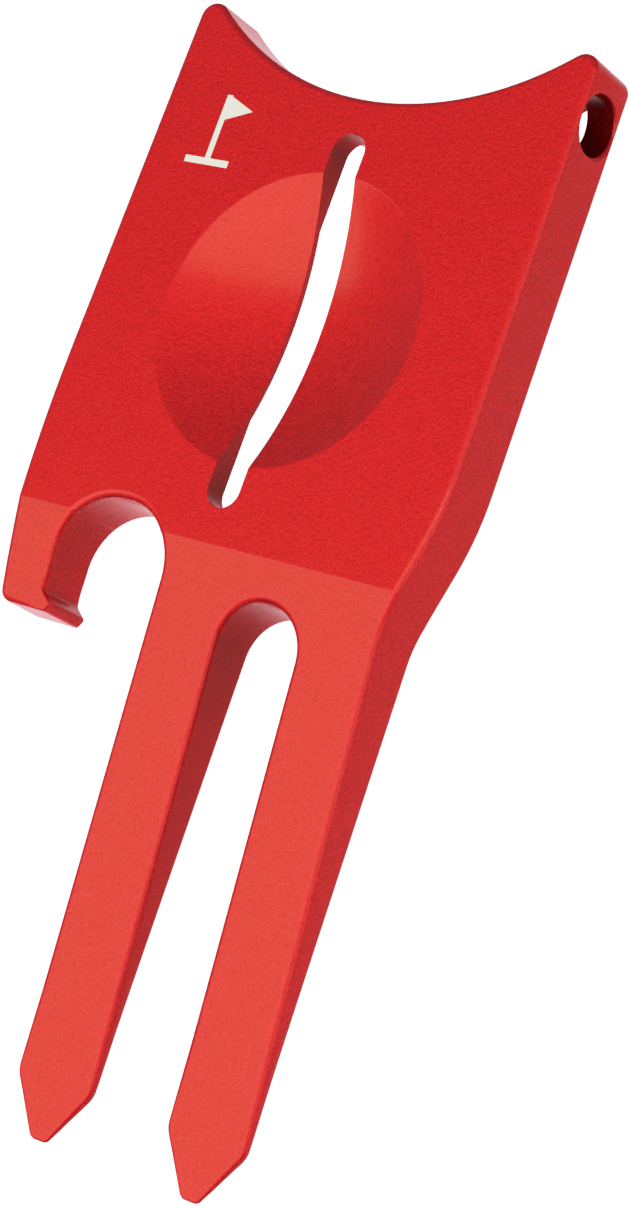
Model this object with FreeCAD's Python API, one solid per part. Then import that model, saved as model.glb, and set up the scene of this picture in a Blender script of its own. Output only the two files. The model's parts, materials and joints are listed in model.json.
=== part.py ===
import FreeCAD
import Part
import math
import os

from FreeCAD import Vector

# Golf divot repair tool, machined from one aluminium plate.  Millimetres.
# While it is being built, x = 0 is the plate's centre line, y = 0 is the middle of the ball dish,
# +Y points to the scalloped end, the prongs point to -Y, and z = 0 is the front face.
# At the end everything is moved so that the origin is the middle of the bottom of its bounding box.

# Plate
plate_width = 30.0          # across the middle of the dish
side_taper = 1.1            # degrees, each side, wider towards the prongs
plate_thickness = 4.4
edge_radius = 0.2           # rounding of the edges round the front face
top_stock = 25.0            # height of the blank that the scallop is cut from

# Scallop that a club grip rests in
scallop_radius = 21.1
scallop_bottom = 14.1       # y of its lowest point
ear_radius = 1.0            # rounding of the two ear tips

# Dish that fits a golf ball, and the line marking slot through it
ball_radius = 21.35
dish_radius = 9.2           # radius of its rim on the front face
rim_radius = 0.15           # rounding of that rim
slot_width = 2.35
slot_length = 23.7

# Pocket in the back, which leaves a thin web with a dome under the dish
web_thickness = 1.65
dome_wall = 0.45
side_rim = 2.3              # width of the rim that the pocket leaves at the sides
pocket_top = 12.4           # y of the lowest point of its arc under the scallop
pocket_top_radius = 18.5    # less than the scallop's, so that the pocket runs up into the ears
notch_rim = 2.0
pocket_bottom = -13.0
pocket_corner = 1.5

# Key ring hole, drilled through the right side rim into the pocket
key_hole_radius = 1.8
key_hole_y = 15.3
key_hole_depth = 2.2        # below the front face

# Hook at the lower left, with a small lip at its end
hook_side_radius = 100.0
hook_end = -20.35
lip_x = -10.05
notch_left = -11.15
notch_top = -12.6
notch_corner = 4.0

# Prongs, which fall away from the front face and lean back a little
crease_y = -14.0
prong_centre_x = 5.45       # middle of the pair
prong_gap = 5.8
prong_outer = 8.0           # from the middle of the pair to the outer edges, at the crease
prong_splay = 1.0           # degrees, each outer edge
gap_top = -16.45
shoulder_y = -46.2
tip_y = -49.6
tip_width = 1.2
tip_thickness = 0.3
front_angle = 8.0           # degrees, front face of the prongs

# Mark on the front face, a flag on a pole, engraved and filled with enamel
emblem_x = -9.3
emblem_y = 10.7
emblem_height = 4.6
emblem_line = 0.45          # width of the pole and of the ground line
flag_length = 2.1
flag_height = 1.7
ground_length = 3.4
emblem_depth = 0.15
enamel_thickness = 0.12

prong_length = crease_y - tip_y
front_drop = prong_length * math.tan(math.radians(front_angle))
back_drop = front_drop + tip_thickness - plate_thickness
scallop_y = scallop_bottom + scallop_radius
ball_height = math.sqrt(ball_radius ** 2 - dish_radius ** 2)
bottom_limit = -plate_thickness - 3.0
top_limit = 3.0


def side_x(y):
    return plate_width / 2 - math.tan(math.radians(side_taper)) * y


def prong_side(y):
    return prong_outer + math.tan(math.radians(prong_splay)) * (crease_y - y)


def rounded_wire(corners):
    """Closed wire through (x, y, radius) corners, each rounded by an arc of its radius."""
    points = [Vector(x, y, 0) for x, y, radius in corners]
    starts = []
    ends = []
    middles = []
    for index, (x, y, radius) in enumerate(corners):
        here = points[index]
        before = (points[index - 1] - here).normalize()
        after = (points[(index + 1) % len(points)] - here).normalize()
        half = before.getAngle(after) / 2
        reach = radius / math.tan(half)
        bisector = (before + after).normalize()
        centre = here + bisector * (radius / math.sin(half))
        starts.append(here + before * reach)
        ends.append(here + after * reach)
        middles.append(centre - bisector * radius)
    edges = []
    for index, (x, y, radius) in enumerate(corners):
        if radius > 0:
            edges.append(Part.Arc(starts[index], middles[index], ends[index]).toShape())
        following = (index + 1) % len(corners)
        if ends[index].distanceToPoint(starts[following]) > 1e-6:
            edges.append(Part.LineSegment(ends[index], starts[following]).toShape())
    return Part.Wire(edges)


def upright(wire, low, high):
    wire = wire.copy()
    wire.translate(Vector(0, 0, low))
    return Part.Face(wire).extrude(Vector(0, 0, high - low))


def plan_outline():
    """The tool seen from the front, from the top left corner round through the prongs."""
    left_prong = prong_centre_x - prong_side(shoulder_y)
    right_prong = prong_centre_x + prong_side(shoulder_y)
    gap_left = prong_centre_x - prong_gap / 2
    gap_right = prong_centre_x + prong_gap / 2
    left_tip = (left_prong + gap_left) / 2
    right_tip = (right_prong + gap_right) / 2
    notch_right = prong_centre_x - prong_side(notch_top)
    corners = [
        (-side_x(top_stock), top_stock, 0),
        (-side_x(-12.0), -12.0, hook_side_radius),
        (-14.1, hook_end, 0.8),
        (lip_x - 0.35, hook_end, 0.25),
        (lip_x, -19.75, 0.2),
        (notch_left + 0.25, -19.1, 0.5),
        (notch_left, notch_top, notch_corner),
        (notch_right, notch_top, notch_corner),
        (left_prong, shoulder_y, 1.5),
        (left_tip - tip_width / 2, tip_y, 0.5),
        (left_tip + tip_width / 2, tip_y, 0.5),
        (gap_left, shoulder_y, 1.5),
        (gap_left, gap_top, prong_gap / 2),
        (gap_right, gap_top, prong_gap / 2),
        (gap_right, shoulder_y, 1.5),
        (right_tip - tip_width / 2, tip_y, 0.5),
        (right_tip + tip_width / 2, tip_y, 0.5),
        (right_prong, shoulder_y, 1.5),
        (prong_centre_x + prong_side(-16.3), -16.3, 8.0),
        (side_x(-9.2), -9.2, 20.0),
        (side_x(top_stock), top_stock, 0),
    ]
    return rounded_wire(corners)


def side_profile():
    """The tool seen from the side, as a slab across its whole width."""
    corners = [
        (top_stock, 0),
        (crease_y, 0),
        (tip_y, -front_drop),
        (tip_y, -plate_thickness - back_drop),
        (crease_y, -plate_thickness),
        (top_stock, -plate_thickness),
    ]
    points = [Vector(-plate_width, y, z) for y, z in corners]
    face = Part.Face(Part.makePolygon(points + points[:1]))
    return face.extrude(Vector(2 * plate_width, 0, 0))


def blank():
    """Outline and side profile together, with the scallop cut and the front edges broken."""
    body = upright(plan_outline(), bottom_limit, top_limit).common(side_profile())
    scallop = Part.makeCylinder(scallop_radius, 20, Vector(0, scallop_y, bottom_limit - 1))
    body = body.cut(scallop)
    ears = [edge for edge in body.Edges if is_upright(edge) and edge.CenterOfMass.y > scallop_bottom + 2]
    body = body.makeFillet(ear_radius, ears)
    return body.makeFillet(edge_radius, [edge for edge in body.Edges if is_front(edge)])


def is_upright(edge):
    first = edge.Vertexes[0].Point
    last = edge.Vertexes[-1].Point
    return len(edge.Vertexes) == 2 and math.hypot(first.x - last.x, first.y - last.y) < 1e-6


def is_front(edge):
    """True for the edges that go round the front faces, and not for the crease between them."""
    middle = edge.CenterOfMass
    slope = math.tan(math.radians(front_angle))
    face_z = min(0, slope * (middle.y - crease_y))
    along_x = abs(abs(edge.tangentAt(edge.FirstParameter).x) - 1) < 1e-6
    on_crease = along_x and abs(middle.y - crease_y) < 1e-6
    return abs(middle.z - face_z) < 0.05 and not on_crease and not is_upright(edge)


def dish():
    """Ball shaped hollow, with its rim rounded, as a tool that is cut from the blank."""
    ball = Part.makeSphere(ball_radius, Vector(0, 0, ball_height))
    below = Part.makeBox(30, 30, 10, Vector(-15, -15, -10))
    return ball.common(below)


def slot():
    reach = slot_length / 2 - slot_width / 2
    half = slot_width / 2
    outline = Part.Wire([
        Part.LineSegment(Vector(half, -reach, 0), Vector(half, reach, 0)).toShape(),
        Part.Arc(Vector(half, reach, 0), Vector(0, reach + half, 0), Vector(-half, reach, 0)).toShape(),
        Part.LineSegment(Vector(-half, reach, 0), Vector(-half, -reach, 0)).toShape(),
        Part.Arc(Vector(-half, -reach, 0), Vector(0, -reach - half, 0), Vector(half, -reach, 0)).toShape(),
    ])
    return upright(outline, bottom_limit, top_limit)


def pocket():
    """Hollow in the back.  It keeps a rim all round, and a dome under the dish."""
    right = side_x(0) - side_rim
    corners = [
        (-right, pocket_bottom, pocket_corner),
        (right, pocket_bottom, pocket_corner),
        (right, top_stock, 0),
        (-right, top_stock, 0),
    ]
    space = upright(rounded_wire(corners), bottom_limit, -web_thickness)
    height = 20
    centre = Vector(0, pocket_top + pocket_top_radius, bottom_limit - 1)
    top_arc = Part.makeCylinder(pocket_top_radius, height, centre)
    notch_middle = (notch_left + prong_centre_x - prong_side(notch_top)) / 2
    notch_radius = notch_middle - notch_left
    centre = Vector(notch_middle, notch_top - notch_radius, bottom_limit - 1)
    notch = Part.makeCylinder(notch_radius + notch_rim, height, centre)
    dome = Part.makeSphere(ball_radius + dome_wall, Vector(0, 0, ball_height))
    return space.cut([top_arc, notch, dome])


def key_hole():
    start = Vector(side_x(0) - side_rim - 0.2, key_hole_y, -key_hole_depth)
    return Part.makeCylinder(key_hole_radius, 6, start, Vector(1, 0, 0))


def emblem(thickness):
    """Pole, flag and ground line as one flat shape, hanging down from the recess's floor level."""
    pole_x = emblem_x - flag_length / 3
    bottom = emblem_y - emblem_height / 2
    top = bottom + emblem_height
    low = -emblem_depth
    pole = Part.makeBox(emblem_line, emblem_height, thickness, Vector(pole_x - emblem_line / 2, bottom, low))
    flag_points = [
        Vector(pole_x, top, low),
        Vector(pole_x + flag_length, top - flag_height / 2, low),
        Vector(pole_x, top - flag_height, low),
        Vector(pole_x, top, low),
    ]
    flag = Part.Face(Part.makePolygon(flag_points)).extrude(Vector(0, 0, thickness))
    corner = Vector(pole_x - ground_length / 2, bottom, low)
    ground = Part.makeBox(ground_length, emblem_line, thickness, corner)
    return pole.fuse([flag, ground]).removeSplitter()


def tool_body():
    body = blank().cut(dish())
    rim = [edge for edge in body.Edges if is_dish_rim(edge)]
    body = body.makeFillet(rim_radius, rim)
    return body.cut([slot(), pocket(), key_hole(), emblem(emblem_depth + top_limit)])


def is_dish_rim(edge):
    return abs(edge.Length - 2 * math.pi * dish_radius) < 1e-3 and abs(edge.CenterOfMass.z) < 1e-4


def to_final_frame(shapes):
    """Put the origin level with the lowest points, the prong tips, under the middle of the body."""
    box = shapes["tool_body"].optimalBoundingBox(False, False)
    shift = Vector(-box.Center.x, -box.Center.y, -box.ZMin)
    for shape in shapes.values():
        shape.translate(shift)
    return shift


shapes = {
    "tool_body": tool_body(),
    "emblem_fill": emblem(enamel_thickness),
}
shift = to_final_frame(shapes)
print("moved by", [round(value, 4) for value in shift])
os.makedirs("parts", exist_ok=True)
for name, shape in shapes.items():
    size = shape.optimalBoundingBox(False, False)
    print(name, shape.isValid(), len(shape.Solids), round(shape.Volume, 2),
          [round(value, 3) for value in (size.XMin, size.YMin, size.ZMin, size.XMax, size.YMax, size.ZMax)])
    shape.exportStep("parts/" + name + ".step")
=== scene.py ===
import bpy
import json
import math
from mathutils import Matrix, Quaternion, Vector


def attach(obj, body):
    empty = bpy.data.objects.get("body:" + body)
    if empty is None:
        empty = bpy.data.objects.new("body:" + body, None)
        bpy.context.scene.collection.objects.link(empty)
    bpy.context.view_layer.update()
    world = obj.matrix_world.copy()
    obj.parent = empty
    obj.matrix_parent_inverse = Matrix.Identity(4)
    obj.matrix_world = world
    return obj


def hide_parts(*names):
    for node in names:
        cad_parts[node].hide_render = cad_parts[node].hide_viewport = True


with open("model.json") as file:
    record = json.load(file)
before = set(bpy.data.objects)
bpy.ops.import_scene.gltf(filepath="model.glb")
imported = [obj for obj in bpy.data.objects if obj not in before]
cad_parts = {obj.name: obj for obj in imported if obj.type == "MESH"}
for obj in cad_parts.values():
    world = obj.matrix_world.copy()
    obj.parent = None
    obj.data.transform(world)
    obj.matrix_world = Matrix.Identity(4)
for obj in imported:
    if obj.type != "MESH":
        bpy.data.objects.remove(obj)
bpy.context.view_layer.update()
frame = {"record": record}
bpy.ops.object.select_all(action="DESELECT")
print("frame loaded")

# the body is modelled in millimetres where the CAD body lies, then brought to metres
mm = 0.001
mounts = {mount["name"]: mount for mount in frame["record"]["mounts"]}
dishAt = Vector(mounts["ball_dish"]["pos_m"]) / mm      # middle of the dish, on the front face
keyAt = Vector(mounts["key_ring_hole"]["pos_m"]) / mm - dishAt

plate = {
    "width": 30.0,
    "taper": 1.1,            # degrees, each side, wider towards the prongs
    "thickness": 4.4,
    "crease": -14.0,         # where the prongs begin to fall away
    "rounding": 0.42,        # all round the front and the back
    "roundingSteps": 4,
    "shortRun": 0.6,         # length of the outline's runs where the rounding changes
    "shortBelow": -15.0,     # which is on the hook and the prongs
    "arcFineness": 0.004,    # how far an arc's runs may leave the true arc
    "flat": 0.9,             # a normal's share along Z, from which a face counts as flat
    "steep": 0.5,            # and up to which it counts as a wall
    "hair": 0.001,
    "smoothAngle": 30,
    "faceWeight": 80,
}

scallop = {
    "radius": 21.1,
    "bottom": 14.1,
    "earRadius": 1.0,
    "earRise": 3.5,          # first guess of the ears' centres, above the bottom
    "earRounds": 6,          # how often the guess is bettered
}

hook = {
    "sideBend": -12.0,
    "sideRadius": 100.0,
    "end": -20.35,
    "endX": -14.1,
    "endCorner": 0.8,
    "lipX": -10.05,
    "lipTop": -19.1,
    "lipTopCorner": 0.5,
    "lipInset": 0.25,
    "lipSlant": (0.35, 0.6),
    "lipCorner": 0.25,
    "notchLeft": -11.15,
    "notchTop": -12.6,
    "notchRadius": 4.0,
    "lipRounding": 0.14,
    "lipEase": (1.4, 2.6),   # how far from the lip the rounding grows to full
}

prongs = {
    "middle": 5.45,
    "halfWidth": 8.0,        # at the crease, over both prongs
    "splay": 1.0,
    "gap": 5.8,
    "gapTop": -16.45,
    "gapSpare": 0.005,       # keeps the two corners of the round end apart
    "rootBend": (-9.2, 20.0),     # height and radius of the right side's bends
    "rootEnd": (-16.3, 8.0),
    "shoulder": -46.2,
    "shoulderCorner": 1.5,
    "tip": -49.6,
    "tipWidth": 1.2,
    "tipCorner": 0.5,
    "tipThickness": 0.3,
    "frontAngle": 8.0,
    "shoulderRounding": 0.26,
    "shoulderEase": (-45.0, -41.5),
    "tipRounding": 0.13,
    "tipEase": (-48.9, -47.3),
}

dish = {
    "ballRadius": 21.35,
    "radius": 9.2,
    "rimRadius": 0.35,
    "turns": 144,
    "cutterFlare": 0.3,
    "cutterTop": 1.5,
}

slot = {
    "width": 2.35,
    "length": 23.7,
    "cutterLow": -8,
    "cutterHeight": 12,
}

pocket = {
    "web": 1.65,
    "domeWall": 0.45,
    "sideRim": 2.3,
    "top": 12.4,
    "topRadius": 18.5,       # runs up into the ears
    "notchRim": 2.0,
    "bottom": -13.0,
    "cornerRadius": 1.5,
    "cutterBelow": 2,        # how far the cutter stands out behind the plate
    "cutterTop": 25,
    "cutterHeight": 12,
    "roundTurns": 256,
    "domeTurns": 144,
    "domeRings": 120,
}

keyHole = {
    "radius": 1.8,
    "mouth": 0.22,           # how much wider the rounded mouth is
    "mouthTurn": 80,
    "overcut": 0.2,
    "clear": 1,
    "turns": 64,
}

emblem = {
    "x": -9.3,
    "y": 10.7,
    "height": 4.6,
    "line": 0.45,
    "flagLength": 2.1,
    "flagHeight": 1.7,
    "ground": 3.4,
    "depth": 0.15,
    "cutterHeight": 1,
}


def onPlate(x, y, z=0.0):
    return dishAt + Vector((x, y, z))


def sideX(y):
    return plate["width"] / 2 - math.tan(math.radians(plate["taper"])) * y


def prongSide(y):
    return prongs["halfWidth"] + math.tan(math.radians(prongs["splay"])) * (plate["crease"] - y)


# a pen that draws edges: it starts as a plane merged into one vertex
pen = {
    "at": Vector(),
    "near": 1e-4,            # points closer than this are one
    "longRun": 100,          # longer than any edge, which is then drawn in one piece
    "fewestSteps": 3,
    "smallestArm": 0.02,
}


def penDown(name, point):
    bpy.ops.object.select_all(action="DESELECT")
    bpy.ops.mesh.primitive_plane_add(size=1, location=(0, 0, 0))
    thing = bpy.context.object
    thing.name = name
    thing.data.name = name
    bpy.ops.object.mode_set(mode="EDIT")
    bpy.ops.mesh.select_all(action="SELECT")
    bpy.ops.mesh.merge(type="CENTER")
    bpy.ops.transform.translate(value=point)
    pen["at"] = Vector(point)
    return thing


def penLine(point, run=pen["longRun"]):
    whole = Vector(point) - pen["at"]
    if whole.length > pen["near"]:
        pieces = math.ceil(whole.length / run)
        for piece in range(pieces):
            bpy.ops.mesh.extrude_region_move(TRANSFORM_OT_translate={"value": whole / pieces})
        pen["at"] = Vector(point)


def penArc(centre, degrees, axis=(0, 0, 1)):
    arm = pen["at"] - Vector(centre)
    run = 2 * math.degrees(math.acos(1 - plate["arcFineness"] / max(arm.length, pen["smallestArm"])))
    steps = max(pen["fewestSteps"], math.ceil(abs(degrees) / run))
    bpy.ops.mesh.spin(steps=steps, angle=-math.radians(degrees), center=centre, axis=axis)
    pen["at"] = Vector(centre) + turned(arm, degrees, axis)


def turned(arm, degrees, axis):
    return Quaternion(axis, math.radians(degrees)) @ arm


def penCorner(before, corner, after, radius, run=pen["longRun"]):
    here = Vector(corner)
    back = (Vector(before) - here).normalized()
    ahead = (Vector(after) - here).normalized()
    half = back.angle(ahead) / 2
    penLine(here + back * radius / math.tan(half), run)
    if radius > 0:
        centre = here + (back + ahead).normalized() * radius / math.sin(half)
        turn = 180 - math.degrees(2 * half)
        left = back.cross(ahead).z < 0
        penArc(centre, turn if left else -turn)


def penUp():
    bpy.ops.mesh.select_all(action="SELECT")
    bpy.ops.mesh.remove_doubles(threshold=pen["near"])


def raiseFace(height):
    bpy.ops.mesh.edge_face_add()
    bpy.ops.mesh.extrude_region_move(TRANSFORM_OT_translate={"value": (0, 0, height)})
    bpy.ops.mesh.select_all(action="SELECT")
    bpy.ops.mesh.normals_make_consistent(inside=False)
    bpy.ops.object.mode_set(mode="OBJECT")


def pickEdges(thing, test):
    bpy.ops.object.mode_set(mode="EDIT")
    bpy.ops.mesh.select_mode(type="EDGE")
    bpy.ops.mesh.select_all(action="DESELECT")
    bpy.ops.object.mode_set(mode="OBJECT")
    for edge in thing.data.edges:
        ends = [thing.data.vertices[index].co - dishAt for index in edge.vertices]
        edge.select = test(ends[0], ends[1])
    bpy.ops.object.mode_set(mode="EDIT")


def pickCorners(thing, test):
    bpy.ops.object.mode_set(mode="EDIT")
    bpy.ops.mesh.select_mode(type="VERT")
    bpy.ops.mesh.select_all(action="DESELECT")
    bpy.ops.object.mode_set(mode="OBJECT")
    for corner in thing.data.vertices:
        corner.select = test(corner.co - dishAt)
    bpy.ops.object.mode_set(mode="EDIT")


def sliceAll(thing, point, normal):
    bpy.ops.object.mode_set(mode="EDIT")
    bpy.ops.mesh.select_all(action="SELECT")
    bpy.ops.mesh.bisect(plane_co=point, plane_no=normal, threshold=pen["near"])


def cutWith(thing, cutter, operation="DIFFERENCE"):
    bpy.ops.object.mode_set(mode="OBJECT")
    bpy.ops.object.select_all(action="DESELECT")
    bpy.context.view_layer.objects.active = thing
    thing.select_set(True)
    cut = thing.modifiers.new("cut", "BOOLEAN")
    cut.operation = operation
    cut.solver = "EXACT"
    cut.object = cutter
    bpy.ops.object.modifier_apply(modifier=cut.name)
    bpy.ops.object.select_all(action="DESELECT")
    cutter.select_set(True)
    bpy.ops.object.delete()
    bpy.context.view_layer.objects.active = thing
    thing.select_set(True)


def earCentre():
    # each ear touches the side and the scallop, found by bettering a guess
    y = scallop["bottom"] + scallop["earRise"]
    high = scallop["bottom"] + scallop["radius"]
    lean = math.radians(plate["taper"])
    reach = scallop["radius"] + scallop["earRadius"]
    for again in range(scallop["earRounds"]):
        x = sideX(y) - scallop["earRadius"] / math.cos(lean)
        y = high - math.sqrt(reach ** 2 - x ** 2)
    return x, y


def drawOutline():
    half = prongs["gap"] / 2
    leftIn = prongs["middle"] - half
    rightIn = prongs["middle"] + half
    leftOut = prongs["middle"] - prongSide(prongs["shoulder"])
    rightOut = prongs["middle"] + prongSide(prongs["shoulder"])
    leftTip = (leftOut + leftIn) / 2
    rightTip = (rightOut + rightIn) / 2
    tipHalf = prongs["tipWidth"] / 2
    notchRight = prongs["middle"] - prongSide(hook["notchTop"])
    ear = earCentre()
    lean = math.radians(plate["taper"])
    corners = [
        (-sideX(ear[1]), ear[1], 0),
        (-sideX(hook["sideBend"]), hook["sideBend"], hook["sideRadius"]),
        (hook["endX"], hook["end"], hook["endCorner"]),
        (hook["lipX"] - hook["lipSlant"][0], hook["end"], hook["lipCorner"]),
        (hook["lipX"], hook["end"] + hook["lipSlant"][1], hook["lipCorner"]),
        (hook["notchLeft"] + hook["lipInset"], hook["lipTop"], hook["lipTopCorner"]),
        (hook["notchLeft"], hook["notchTop"], hook["notchRadius"]),
        (notchRight, hook["notchTop"], hook["notchRadius"]),
        (leftOut, prongs["shoulder"], prongs["shoulderCorner"]),
        (leftTip - tipHalf, prongs["tip"], prongs["tipCorner"]),
        (leftTip + tipHalf, prongs["tip"], prongs["tipCorner"]),
        (leftIn, prongs["shoulder"], prongs["shoulderCorner"]),
        (leftIn, prongs["gapTop"], half - prongs["gapSpare"]),
        (rightIn, prongs["gapTop"], half - prongs["gapSpare"]),
        (rightIn, prongs["shoulder"], prongs["shoulderCorner"]),
        (rightTip - tipHalf, prongs["tip"], prongs["tipCorner"]),
        (rightTip + tipHalf, prongs["tip"], prongs["tipCorner"]),
        (rightOut, prongs["shoulder"], prongs["shoulderCorner"]),
        (prongs["middle"] + prongSide(prongs["rootEnd"][0]), *prongs["rootEnd"]),
        (sideX(prongs["rootBend"][0]), *prongs["rootBend"]),
        (sideX(ear[1]), ear[1], 0),
    ]
    earSide = (ear[0] + scallop["earRadius"] * math.cos(lean),
               ear[1] + scallop["earRadius"] * math.sin(lean))
    thing = penDown("redBody", onPlate(-earSide[0], earSide[1]))
    for index in range(1, len(corners) - 1):
        points = [onPlate(x, y) for x, y, radius in corners[index - 1:index + 2]]
        # short runs on the hook and the prongs, where the rounding changes
        run = plate["shortRun"] if corners[index][1] < plate["shortBelow"] else pen["longRun"]
        penCorner(points[0], points[1], points[2], corners[index][2], run)
    penLine(onPlate(*earSide))
    # over the right ear, along the scallop and over the left ear
    top = scallop["bottom"] + scallop["radius"]
    away = math.degrees(math.atan2(top - ear[1], -ear[0]))
    penArc(onPlate(*ear), away - plate["taper"])
    penArc(onPlate(0, top), -2 * (away - 90))
    penArc(onPlate(-ear[0], ear[1]), away - plate["taper"])
    penUp()
    return thing


def between(value, low, high, lowResult, highResult):
    share = min(1, max(0, (value - low) / (high - low)))
    return lowResult + (highResult - lowResult) * share


def roundingAt(at):
    # even round the bends, and eased down along the straight runs to the thin tips and to the lip
    full = plate["rounding"]
    thin = prongs["shoulderRounding"]
    alongProng = between(at.y, *prongs["shoulderEase"], thin, full)
    alongTip = between(at.y, *prongs["tipEase"], prongs["tipRounding"], thin)
    fromLip = math.hypot(at.x - hook["lipX"], at.y - hook["end"])
    nearLip = between(fromLip, *hook["lipEase"], hook["lipRounding"], full)
    return alongTip if at.y < prongs["tipEase"][1] else min(alongProng, nearLip)


def roundEdges(thing):
    # the edges between a face and a wall
    bpy.ops.object.mode_set(mode="OBJECT")
    faces = {}
    for face in thing.data.polygons:
        for key in face.edge_keys:
            faces.setdefault(key, []).append(abs(face.normal.z))
    weights = thing.data.attributes.new("bevel_weight_edge", "FLOAT", "EDGE")
    for index, edge in enumerate(thing.data.edges):
        tilts = faces[edge.key]
        if len(tilts) == 2 and max(tilts) > plate["flat"] and min(tilts) < plate["steep"]:
            ends = [thing.data.vertices[corner].co for corner in edge.vertices]
            middle = (ends[0] + ends[1]) / 2 - dishAt
            weights.data[index].value = roundingAt(middle) / plate["rounding"]
    rounding = thing.modifiers.new("rounding", "BEVEL")
    rounding.limit_method = "WEIGHT"
    rounding.width = plate["rounding"]
    rounding.segments = plate["roundingSteps"]
    rounding.use_clamp_overlap = False
    bpy.ops.object.modifier_apply(modifier=rounding.name)


def tilt(thing, test, degrees, pivot):
    # turned about the crease, and stretched so that its length stays
    pickCorners(thing, test)
    bpy.ops.transform.rotate(value=math.radians(degrees), orient_axis="X", center_override=pivot)
    stretch = 1 / math.cos(math.radians(degrees))
    bpy.ops.transform.resize(value=(1, stretch, stretch), center_override=pivot)
    bpy.ops.object.mode_set(mode="OBJECT")


def makeBlank():
    thing = drawOutline()
    raiseFace(-plate["thickness"])
    roundEdges(thing)
    crease = plate["crease"]
    thick = plate["thickness"]
    sliceAll(thing, onPlate(0, crease), (0, 1, 0))
    # the backs of the prongs lean back a little, and their fronts fall away
    fall = crease - prongs["tip"]
    drop = fall * math.tan(math.radians(prongs["frontAngle"]))
    lean = math.degrees(math.atan((drop + prongs["tipThickness"] - thick) / fall))
    below = crease - plate["hair"]
    tilt(thing, lambda at: at.y < below and at.z < -thick / 2, -lean, onPlate(0, crease, -thick))
    tilt(thing, lambda at: at.y < below and at.z > -thick / 2, -prongs["frontAngle"], onPlate(0, crease))
    return thing


def makeDishCutter():
    # half a section: the ball's arc, the rounded rim, then up and back over the middle
    ball = dish["ballRadius"]
    rim = dish["rimRadius"]
    high = math.sqrt(ball ** 2 - dish["radius"] ** 2)
    out = math.sqrt((ball + rim) ** 2 - (high + rim) ** 2)
    opening = math.degrees(math.asin(out / (ball + rim)))
    thing = penDown("dishCutter", onPlate(0, 0, high - ball))
    penArc(onPlate(0, 0, high), -opening, axis=(0, 1, 0))
    penArc(onPlate(out, 0, -rim), opening, axis=(0, 1, 0))
    penLine(onPlate(out + dish["cutterFlare"], 0, dish["cutterTop"]))
    penLine(onPlate(0, 0, dish["cutterTop"]))
    bpy.ops.mesh.select_all(action="SELECT")
    bpy.ops.mesh.spin(steps=dish["turns"], angle=2 * math.pi, center=onPlate(0, 0), axis=(0, 0, 1))
    penUp()
    bpy.ops.mesh.normals_make_consistent(inside=False)
    return thing


def makeSlotCutter():
    half = slot["width"] / 2
    reach = slot["length"] / 2 - half
    low = slot["cutterLow"]
    thing = penDown("slotCutter", onPlate(half, -reach, low))
    penLine(onPlate(half, reach, low))
    penArc(onPlate(0, reach, low), 180)
    penLine(onPlate(-half, -reach, low))
    penArc(onPlate(0, -reach, low), 180)
    penUp()
    raiseFace(slot["cutterHeight"])
    return thing


def roundPrism(name, x, y, radius, low):
    height = pocket["cutterHeight"]
    bpy.ops.object.select_all(action="DESELECT")
    bpy.ops.mesh.primitive_cylinder_add(vertices=pocket["roundTurns"], radius=radius, depth=height,
                                        location=onPlate(x, y, low + height / 2))
    thing = bpy.context.object
    thing.name = name
    return thing


def makePocketCutter():
    # a rounded block, less the rims that stay round the scallop and the notch, and less the dome
    right = sideX(0) - pocket["sideRim"]
    low = -plate["thickness"] - pocket["cutterBelow"]
    corners = [
        (0, pocket["bottom"], 0),
        (right, pocket["bottom"], pocket["cornerRadius"]),
        (right, pocket["cutterTop"], 0),
        (-right, pocket["cutterTop"], 0),
        (-right, pocket["bottom"], pocket["cornerRadius"]),
        (0, pocket["bottom"], 0),
    ]
    thing = penDown("pocketCutter", onPlate(0, pocket["bottom"], low))
    for index in range(1, len(corners) - 1):
        points = [onPlate(x, y, low) for x, y, radius in corners[index - 1:index + 2]]
        penCorner(points[0], points[1], points[2], corners[index][2])
    penUp()
    raiseFace(-pocket["web"] - low)
    rimLow = low - pocket["cutterBelow"]
    topAt = pocket["top"] + pocket["topRadius"]
    cutWith(thing, roundPrism("pocketTop", 0, topAt, pocket["topRadius"], rimLow))
    notchRight = prongs["middle"] - prongSide(hook["notchTop"])
    notchHalf = (notchRight - hook["notchLeft"]) / 2
    cutWith(thing, roundPrism("notchRim", notchRight - notchHalf, hook["notchTop"] - notchHalf,
                              notchHalf + pocket["notchRim"], rimLow))
    bpy.ops.object.select_all(action="DESELECT")
    high = math.sqrt(dish["ballRadius"] ** 2 - dish["radius"] ** 2)
    bpy.ops.mesh.primitive_uv_sphere_add(segments=pocket["domeTurns"], ring_count=pocket["domeRings"],
                                         location=onPlate(0, 0, high),
                                         radius=dish["ballRadius"] + pocket["domeWall"])
    cutWith(thing, bpy.context.object)
    return thing


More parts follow.
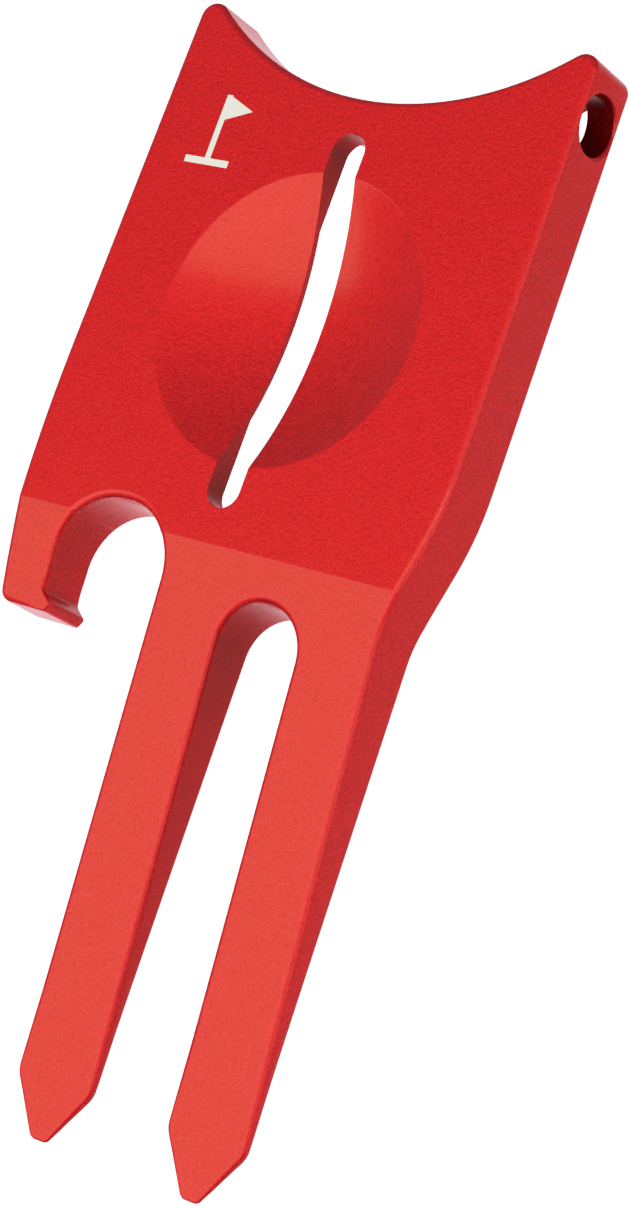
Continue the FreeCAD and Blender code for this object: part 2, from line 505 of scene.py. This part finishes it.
def makeKeyCutter():
    # a drill with a flared shoulder, which leaves the hole's mouth rounded
    mouth = keyHole["mouth"]
    radius = keyHole["radius"]
    start = sideX(0) - pocket["sideRim"] - keyHole["overcut"]
    face = sideX(keyAt.y)
    thing = penDown("keyCutter", onPlate(start, keyAt.y, keyAt.z))
    penLine(onPlate(start, keyAt.y, keyAt.z + radius))
    penLine(onPlate(face - mouth, keyAt.y, keyAt.z + radius))
    penArc(onPlate(face - mouth, keyAt.y, keyAt.z + radius + mouth), -keyHole["mouthTurn"], axis=(0, 1, 0))
    past = face + keyHole["clear"]
    penLine(onPlate(past, keyAt.y, keyAt.z + radius + mouth + keyHole["overcut"]))
    penLine(onPlate(past, keyAt.y, keyAt.z))
    bpy.ops.mesh.select_all(action="SELECT")
    bpy.ops.mesh.spin(steps=keyHole["turns"], angle=2 * math.pi,
                      center=onPlate(0, keyAt.y, keyAt.z), axis=(1, 0, 0))
    penUp()
    bpy.ops.mesh.normals_make_consistent(inside=False)
    return thing


def makeFlagCutter():
    poleX = emblem["x"] - emblem["flagLength"] / 3
    half = emblem["line"] / 2
    low = emblem["y"] - emblem["height"] / 2
    top = low + emblem["height"]
    middle = top - emblem["flagHeight"] / 2
    # where the flag's slanting edges leave the pole
    slant = emblem["flagHeight"] / 2 / emblem["flagLength"] * half
    z = -emblem["depth"]
    thing = penDown("flagCutter", onPlate(poleX - emblem["ground"] / 2, low, z))
    for x, y in [
        (poleX + emblem["ground"] / 2, low),
        (poleX + emblem["ground"] / 2, low + emblem["line"]),
        (poleX + half, low + emblem["line"]),
        (poleX + half, top - emblem["flagHeight"] + slant),
        (poleX + emblem["flagLength"], middle),
        (poleX + half, top - slant),
        (poleX + half, top),
        (poleX - half, top),
        (poleX - half, low + emblem["line"]),
        (poleX - emblem["ground"] / 2, low + emblem["line"]),
        (poleX - emblem["ground"] / 2, low),
    ]:
        penLine(onPlate(x, y, z))
    penUp()
    raiseFace(emblem["cutterHeight"])
    return thing


body = makeBlank()
print("blank made:", len(body.data.vertices), "corners")
cutWith(body, makeDishCutter())
cutWith(body, makeSlotCutter())
cutWith(body, makePocketCutter())
cutWith(body, makeKeyCutter())
cutWith(body, makeFlagCutter())
print("body cut:", len(body.data.vertices), "corners")


def finishBody(thing):
    # the fold where the prongs begin stays crisp, in front and behind
    crease = plate["crease"]
    pickEdges(thing, lambda start, end: max(abs(start.y - crease), abs(end.y - crease)) < plate["hair"])
    bpy.ops.mesh.mark_sharp()
    bpy.ops.mesh.select_all(action="SELECT")
    bpy.ops.transform.resize(value=(mm, mm, mm), center_override=(0, 0, 0))
    bpy.ops.object.mode_set(mode="OBJECT")
    bpy.ops.object.shade_smooth_by_angle(angle=math.radians(plate["smoothAngle"]))
    weighted = thing.modifiers.new("weighted", "WEIGHTED_NORMAL")
    weighted.keep_sharp = True
    weighted.weight = plate["faceWeight"]
    bpy.ops.object.modifier_apply(modifier=weighted.name)
    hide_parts("tool_body")
    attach(thing, "root")


finishBody(body)

camera = {
    "place": (123.041, -24.289, 160.919),
    "turn": (20.21474, 31.45581, 23.40575),
    "lens": 102.83,
    "sensor": 36,
    "nearest": 0.01,         # metres
    "farthest": 5,
}


def makeCamera():
    data = bpy.data.cameras.new("camera")
    data.lens = camera["lens"]
    data.sensor_width = camera["sensor"]
    data.clip_start = camera["nearest"]
    data.clip_end = camera["farthest"]
    thing = bpy.data.objects.new("camera", data)
    bpy.context.collection.objects.link(thing)
    thing.location = Vector(camera["place"]) * mm
    thing.rotation_euler = [math.radians(angle) for angle in camera["turn"]]
    bpy.context.scene.camera = thing


makeCamera()


def makeMaterial(name):
    material = bpy.data.materials.new(name)
    material.use_nodes = True
    return material, material.node_tree.nodes, material.node_tree.links


red = {
    "metallic": 1.0,
    "deep": (0.58, 0.009, 0.017, 1),
    "bright": (0.80, 0.018, 0.029, 1),
    "edge": (1.0, 0.25, 0.35, 1),
    "roughness": 0.60,
    "roughnessSpread": 0.04,
    "coat": 0.5,
    "coatRoughness": 0.2,
    "coatIor": 1.5,
    "grain": 0.17,           # sizes in millimetres
    "grainDetail": 2.0,
    "grainStrength": 0.8,
    "pits": 0.32,
    "pitStrength": 0.25,
    "bumpDepth": 0.05,
    "clouds": 1.1,
    "cloudDetail": 3.0,
    "cloudShare": 0.15,
    "mottle": (0.35, 0.65),
    # painted shade inside the holes: how far each point looks for cover, and how dark the most hidden
    # places are painted
    "reach": 8.0,
    "reachSamples": 8,
    "hollow": (0.45, 0.97),  # from hidden to open
    "recess": 0.25,
}


def makeRed():
    # bead-blasted aluminium with a red anodised skin
    material, nodes, links = makeMaterial("redAnodised")
    shader = nodes["Principled BSDF"]
    shader.inputs["Metallic"].default_value = red["metallic"]
    shader.inputs["Specular Tint"].default_value = red["edge"]
    shader.inputs["Coat Weight"].default_value = red["coat"]
    shader.inputs["Coat Roughness"].default_value = red["coatRoughness"]
    shader.inputs["Coat IOR"].default_value = red["coatIor"]
    place = nodes.new("ShaderNodeTexCoord").outputs["Object"]

    # the blasted grain, as pits of two sizes
    grain = nodes.new("ShaderNodeTexNoise")
    grain.inputs["Scale"].default_value = 1 / (red["grain"] * mm)
    grain.inputs["Detail"].default_value = red["grainDetail"]
    links.new(place, grain.inputs["Vector"])
    pits = nodes.new("ShaderNodeTexVoronoi")
    pits.inputs["Scale"].default_value = 1 / (red["pits"] * mm)
    links.new(place, pits.inputs["Vector"])
    pitBump = nodes.new("ShaderNodeBump")
    pitBump.inputs["Strength"].default_value = red["pitStrength"]
    pitBump.inputs["Distance"].default_value = red["bumpDepth"] * mm
    links.new(pits.outputs["Distance"], pitBump.inputs["Height"])
    grainBump = nodes.new("ShaderNodeBump")
    grainBump.inputs["Strength"].default_value = red["grainStrength"]
    grainBump.inputs["Distance"].default_value = red["bumpDepth"] * mm
    links.new(grain.outputs["Fac"], grainBump.inputs["Height"])
    links.new(pitBump.outputs["Normal"], grainBump.inputs["Normal"])
    links.new(grainBump.outputs["Normal"], shader.inputs["Normal"])

    # the dye took a little unevenly, in clouds and in specks
    clouds = nodes.new("ShaderNodeTexNoise")
    clouds.inputs["Scale"].default_value = 1 / (red["clouds"] * mm)
    clouds.inputs["Detail"].default_value = red["cloudDetail"]
    links.new(place, clouds.inputs["Vector"])
    mottle = nodes.new("ShaderNodeMath")
    mottle.operation = "MULTIPLY_ADD"
    mottle.inputs[1].default_value = red["cloudShare"]
    links.new(clouds.outputs["Fac"], mottle.inputs[0])
    links.new(grain.outputs["Fac"], mottle.inputs[2])
    tone = nodes.new("ShaderNodeMapRange")
    tone.inputs["From Min"].default_value = red["mottle"][0] + red["cloudShare"] / 2
    tone.inputs["From Max"].default_value = red["mottle"][1] + red["cloudShare"] / 2
    links.new(mottle.outputs["Value"], tone.inputs["Value"])
    # sockets 6 and 7 of a colour mix are its two colours, and 0 is the share
    dye = nodes.new("ShaderNodeMix")
    dye.data_type = "RGBA"
    dye.inputs[6].default_value = red["deep"]
    dye.inputs[7].default_value = red["bright"]
    links.new(tone.outputs["Result"], dye.inputs[0])

    # painted shade: the colour is darkened inside the holes and recesses, by how hidden each point is,
    # standing in for the shade that falls where light hardly reaches
    reach = nodes.new("ShaderNodeAmbientOcclusion")
    reach.samples = red["reachSamples"]
    reach.inputs["Distance"].default_value = red["reach"] * mm
    depth = nodes.new("ShaderNodeMapRange")
    depth.inputs["From Min"].default_value = red["hollow"][0]
    depth.inputs["From Max"].default_value = red["hollow"][1]
    depth.inputs["To Min"].default_value = red["recess"]
    links.new(reach.outputs["AO"], depth.inputs["Value"])
    # painted shade: the dye colour is multiplied down where the point is hidden
    paintedShade = nodes.new("ShaderNodeMix")
    paintedShade.data_type = "RGBA"
    paintedShade.blend_type = "MULTIPLY"
    paintedShade.inputs[0].default_value = 1.0
    links.new(dye.outputs[2], paintedShade.inputs[6])
    links.new(depth.outputs["Result"], paintedShade.inputs[7])
    links.new(paintedShade.outputs[2], shader.inputs["Base Color"])

    gloss = nodes.new("ShaderNodeMapRange")
    gloss.inputs["To Min"].default_value = red["roughness"] - red["roughnessSpread"]
    gloss.inputs["To Max"].default_value = red["roughness"] + red["roughnessSpread"]
    links.new(clouds.outputs["Fac"], gloss.inputs["Value"])
    links.new(gloss.outputs["Result"], shader.inputs["Roughness"])
    return material


white = {
    "deep": (0.86, 0.86, 0.95, 1),
    "bright": (0.92, 0.92, 0.98, 1),
    "roughness": (0.3, 0.45),
    "peel": 0.5,
    "peelDetail": 3.0,
    "peelStrength": 0.3,
    "peelDepth": 0.01,
}


def makeWhite():
    # stoved enamel, which has settled with a faint orange peel
    material, nodes, links = makeMaterial("whiteEnamel")
    shader = nodes["Principled BSDF"]
    place = nodes.new("ShaderNodeTexCoord").outputs["Object"]
    peel = nodes.new("ShaderNodeTexNoise")
    peel.inputs["Scale"].default_value = 1 / (white["peel"] * mm)
    peel.inputs["Detail"].default_value = white["peelDetail"]
    links.new(place, peel.inputs["Vector"])
    tone = nodes.new("ShaderNodeMix")
    tone.data_type = "RGBA"
    tone.inputs[6].default_value = white["deep"]
    tone.inputs[7].default_value = white["bright"]
    links.new(peel.outputs["Fac"], tone.inputs[0])
    links.new(tone.outputs[2], shader.inputs["Base Color"])
    gloss = nodes.new("ShaderNodeMapRange")
    gloss.inputs["To Min"].default_value = white["roughness"][0]
    gloss.inputs["To Max"].default_value = white["roughness"][1]
    links.new(peel.outputs["Fac"], gloss.inputs["Value"])
    links.new(gloss.outputs["Result"], shader.inputs["Roughness"])
    bump = nodes.new("ShaderNodeBump")
    bump.inputs["Strength"].default_value = white["peelStrength"]
    bump.inputs["Distance"].default_value = white["peelDepth"] * mm
    links.new(peel.outputs["Fac"], bump.inputs["Height"])
    links.new(bump.outputs["Normal"], shader.inputs["Normal"])
    return material


pale = {
    "deep": (0.58, 0.59, 0.66, 1),
    "bright": (0.61, 0.62, 0.70, 1),
    "cloudScale": 3.0,
    "roughness": 1.0,
    "shine": 0.0,
}


def makePale():
    material, nodes, links = makeMaterial("paleFloor")
    shader = nodes["Principled BSDF"]
    place = nodes.new("ShaderNodeTexCoord").outputs["Object"]
    cloud = nodes.new("ShaderNodeTexNoise")
    cloud.inputs["Scale"].default_value = pale["cloudScale"]
    links.new(place, cloud.inputs["Vector"])
    tone = nodes.new("ShaderNodeMix")
    tone.data_type = "RGBA"
    tone.inputs[6].default_value = pale["deep"]
    tone.inputs[7].default_value = pale["bright"]
    links.new(cloud.outputs["Fac"], tone.inputs[0])
    links.new(tone.outputs[2], shader.inputs["Base Color"])
    shader.inputs["Roughness"].default_value = pale["roughness"]
    shader.inputs["Specular IOR Level"].default_value = pale["shine"]
    return material


body.data.materials.clear()
body.data.materials.append(makeRed())
fillMaterial = makeWhite()
for slotHere in bpy.data.objects["emblem_fill"].material_slots:
    slotHere.material = fillMaterial
print("finishes made")

studio = {
    "floorDrop": 250.0,
    "floorSize": 20000.0,
    "worldStrength": 0.40,
}
lamps = {
    # each soft box's middle, width, length, brightness, colour and tilt about Y
    "warmBox": ((-80, -265, 500), 1000, 590, 2.5, (1.0, 0.95, 0.55), 0),
    "edgeBox": ((450, 50, 500), 520, 100, 4.6, (1.0, 0.90, 0.45), 0),
    "sideBox": ((600, 40, 160), 700, 420, 1.4, (1.0, 0.85, 0.70), 90),
    "floorBox": ((-300, 0, -120), 600, 700, 2.6, (0.95, 0.97, 1.0), 0),
}

film = {
    "white": 1.5,            # the brightness that shows as white
    "shoulder": [(0.55, 0.55), (0.75, 0.69), (1.0, 0.78), (1.25, 0.84)],
}


def makeLamp(name, at, width, length, brightness, colour, tilted):
    data = bpy.data.lights.new(name, "AREA")
    data.shape = "RECTANGLE"
    data.size = width * mm
    data.size_y = length * mm
    data.energy = brightness * math.pi * data.size * data.size_y
    data.color = colour
    thing = bpy.data.objects.new(name, data)
    bpy.context.collection.objects.link(thing)
    thing.location = Vector(at) * mm
    thing.rotation_euler = (0, math.radians(tilted), 0)


def makeFloor():
    bpy.ops.object.select_all(action="DESELECT")
    bpy.ops.mesh.primitive_plane_add(size=studio["floorSize"] * mm,
                                     location=(0, 0, -studio["floorDrop"] * mm))
    floor = bpy.context.object
    floor.name = "floor"
    floor.data.materials.append(makePale())


def setTone():
    # full contrast in the shades, and highlights that roll off as on film
    view = bpy.context.scene.view_settings
    view.view_transform = "Standard"
    view.use_curve_mapping = True
    mapping = view.curve_mapping
    combined = mapping.curves[3]
    mapping.white_level = [film["white"]] * 3
    for brightness, shown in film["shoulder"]:
        point = combined.points.new(brightness / film["white"], shown)
        point.handle_type = "VECTOR"
    mapping.update()


def lightStudio():
    makeFloor()
    for name, facts in lamps.items():
        makeLamp(name, *facts)
    world = bpy.data.worlds.new("studio")
    world.use_nodes = True
    world.node_tree.nodes["Background"].inputs["Color"].default_value = (1, 1, 1, 1)
    world.node_tree.nodes["Background"].inputs["Strength"].default_value = studio["worldStrength"]
    bpy.context.scene.world = world
    setTone()


lightStudio()
print("studio lit")
